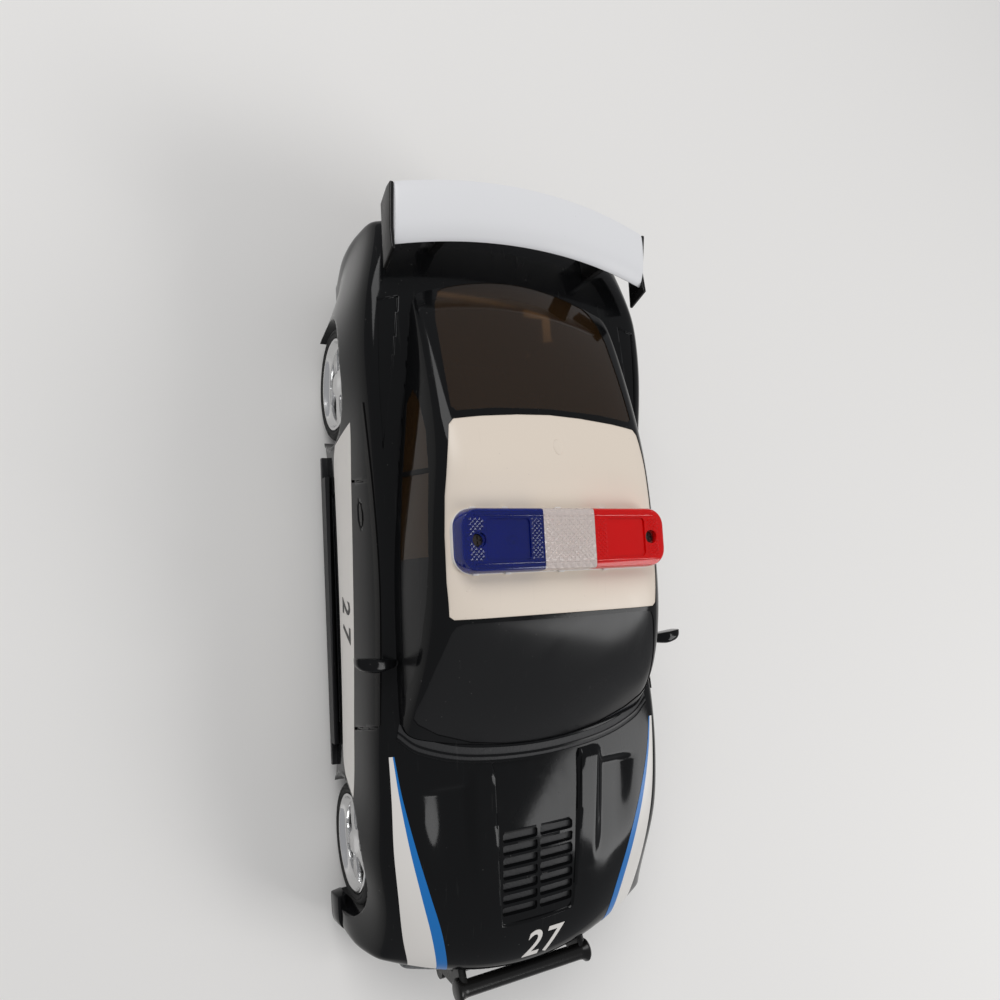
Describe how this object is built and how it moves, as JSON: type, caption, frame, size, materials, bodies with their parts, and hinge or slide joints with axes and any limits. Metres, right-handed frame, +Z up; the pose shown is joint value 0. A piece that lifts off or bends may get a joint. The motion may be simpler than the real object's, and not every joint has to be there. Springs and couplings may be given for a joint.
{
  "type": "toy police car",
  "caption": "Black and white toy patrol car: moulded shell, smoked canopy, roof light bar, rear wing, push bar and a flywheel drive to the rear axle.",
  "frame": {"origin": "on the floor under the middle of the car, at the bottom centre of its box", "axes": "+Y towards the tail, so the car drives towards -Y; +X to the car's own left side; +Z up"},
  "size_m": [0.126, 0.275, 0.0909],
  "materials": {
    "body_black": "gloss moulded black",
    "smoke_glass": "smoke-tinted clear plastic",
    "white_plastic": "gloss white",
    "tray_clear": "clear moulded tray",
    "lens_blue": "blue tinted lens",
    "lens_clear": "clear textured lens",
    "lens_red": "red tinted lens",
    "lamp_clear": "clear lamp lens",
    "lamp_red": "red lamp lens",
    "trim_black": "satin black",
    "chassis_black": "matt black",
    "steel": "bright steel",
    "cell_sleeve": "printed sleeve, plain here",
    "board_green": "green board",
    "knob_ivory": "satin ivory",
    "case_grey": "satin grey",
    "gear_ivory": "satin nylon",
    "rim_silver": "bright plated plastic",
    "tyre_black": "soft moulded tyre"
  },
  "bodies": {
    "car": {"body_shell": "body_black", "window_canopy": "smoke_glass", "roof_panel": "white_plastic", "mirror_left": "body_black", "mirror_right": "body_black", "lightbar_base": "tray_clear", "lens_blue": "lens_blue", "lens_clear": "lens_clear", "lens_red": "lens_red", "lightbar_screws": "steel", "leds": "lamp_clear", "wing_blade": "white_plastic", "wing_endplate_left": "trim_black", "wing_endplate_right": "trim_black", "wing_strut_left": "trim_black", "wing_strut_right": "trim_black", "push_bar": "trim_black", "front_grille": "trim_black", "headlight_left": "lamp_clear", "headlight_right": "lamp_clear", "tail_light_left": "lamp_red", "tail_light_right": "lamp_red", "chassis_pan": "chassis_black", "chassis_screws": "steel", "battery_door": "chassis_black", "battery_door_screw": "steel", "battery_cells": "cell_sleeve", "battery_contacts": "steel", "circuit_board": "board_green", "switch_body": "chassis_black", "gearbox_case": "case_grey", "gearbox_cover": "case_grey", "middle_pin": "steel"},
    "front_wheels": {"front_axle": "steel", "rim_front_left": "rim_silver", "rim_front_right": "rim_silver", "tyre_front_left": "tyre_black", "tyre_front_right": "tyre_black"},
    "rear_wheels": {"rear_axle": "steel", "axle_gear": "gear_ivory", "rim_rear_left": "rim_silver", "rim_rear_right": "rim_silver", "tyre_rear_left": "tyre_black", "tyre_rear_right": "tyre_black"},
    "middle_gear": {"middle_gear": "gear_ivory"},
    "flywheel": {"flywheel": "steel"},
    "switch_knob": {"switch_knob": "knob_ivory"}
  },
  "joints": [
    {"name": "front_axle_spin", "type": "hinge", "parent": "car", "child": "front_wheels", "pos_m": [0, -0.084, 0.021], "axis": [1, 0, 0], "continuous": true},
    {"name": "rear_axle_spin", "type": "hinge", "parent": "car", "child": "rear_wheels", "pos_m": [0, 0.082, 0.021], "axis": [1, 0, 0], "continuous": true},
    {"name": "middle_gear_spin", "type": "hinge", "parent": "car", "child": "middle_gear", "pos_m": [0, 0.07016, 0.02531], "axis": [1, 0, 0], "continuous": true},
    {"name": "flywheel_spin", "type": "hinge", "parent": "car", "child": "flywheel", "pos_m": [0, 0.05747, 0.03123], "axis": [1, 0, 0], "continuous": true},
    {"name": "power_switch", "type": "slide", "parent": "car", "child": "switch_knob", "axis": [0, 1, 0], "range_m": [0, 0.002]}
  ],
  "couplings": [
    {"joint": "middle_gear_spin", "follows": "rear_axle_spin", "ratio": -2.6},
    {"joint": "flywheel_spin", "follows": "rear_axle_spin", "ratio": 7.8}
  ]
}
